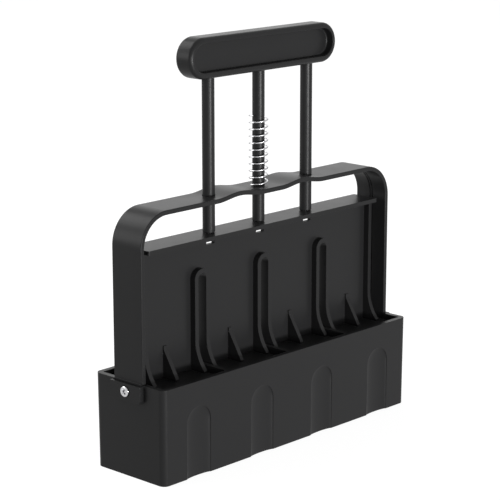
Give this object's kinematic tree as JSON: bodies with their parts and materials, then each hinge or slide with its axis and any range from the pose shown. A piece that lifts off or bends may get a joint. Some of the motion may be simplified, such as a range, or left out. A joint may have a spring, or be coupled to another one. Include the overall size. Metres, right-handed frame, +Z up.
{
  "type": "soil blocker",
  "caption": "Hand tool that presses a row of square blocks of potting soil, with a bail strap, push rods, a return spring and a T handle",
  "frame": {"origin": "middle of the mould box's bottom edge plane", "axes": "+X along the row of cells, -Y the front seen in the picture, +Z up along the push rods"},
  "size_m": [0.2238, 0.0566, 0.2479],
  "materials": {
    "mould_box": "moulded, satin",
    "bail_strap": "moulded, satin",
    "bail_screw_left": "zinc plated",
    "bail_screw_right": "zinc plated",
    "spring": "bright wire",
    "handle_grip": "moulded, satin",
    "ejector": "moulded, satin",
    "rod_left": "moulded, satin",
    "rod_middle": "moulded, satin",
    "rod_right": "moulded, satin",
    "rod_screw_left": "zinc plated",
    "rod_screw_middle": "zinc plated",
    "rod_screw_right": "zinc plated",
    "seed_pin_1": "moulded, satin",
    "seed_pin_2": "moulded, satin",
    "seed_pin_3": "moulded, satin",
    "seed_pin_4": "moulded, satin"
  },
  "bodies": {
    "mould": {"mould_box": "mould_box", "bail_strap": "bail_strap", "bail_screw_left": "bail_screw_left", "bail_screw_right": "bail_screw_right", "spring": "spring"},
    "plunger": {"handle_grip": "handle_grip", "rod_left": "rod_left", "rod_middle": "rod_middle", "rod_right": "rod_right", "ejector": "ejector", "rod_screw_left": "rod_screw_left", "rod_screw_middle": "rod_screw_middle", "rod_screw_right": "rod_screw_right", "seed_pin_1": "seed_pin_1", "seed_pin_2": "seed_pin_2", "seed_pin_3": "seed_pin_3", "seed_pin_4": "seed_pin_4"}
  },
  "joints": [
    {"name": "plunger_slide", "type": "slide", "parent": "mould", "child": "plunger", "axis": [0, 0, 1], "range_m": [-0.05, 0], "deforming": ["spring"]}
  ]
}
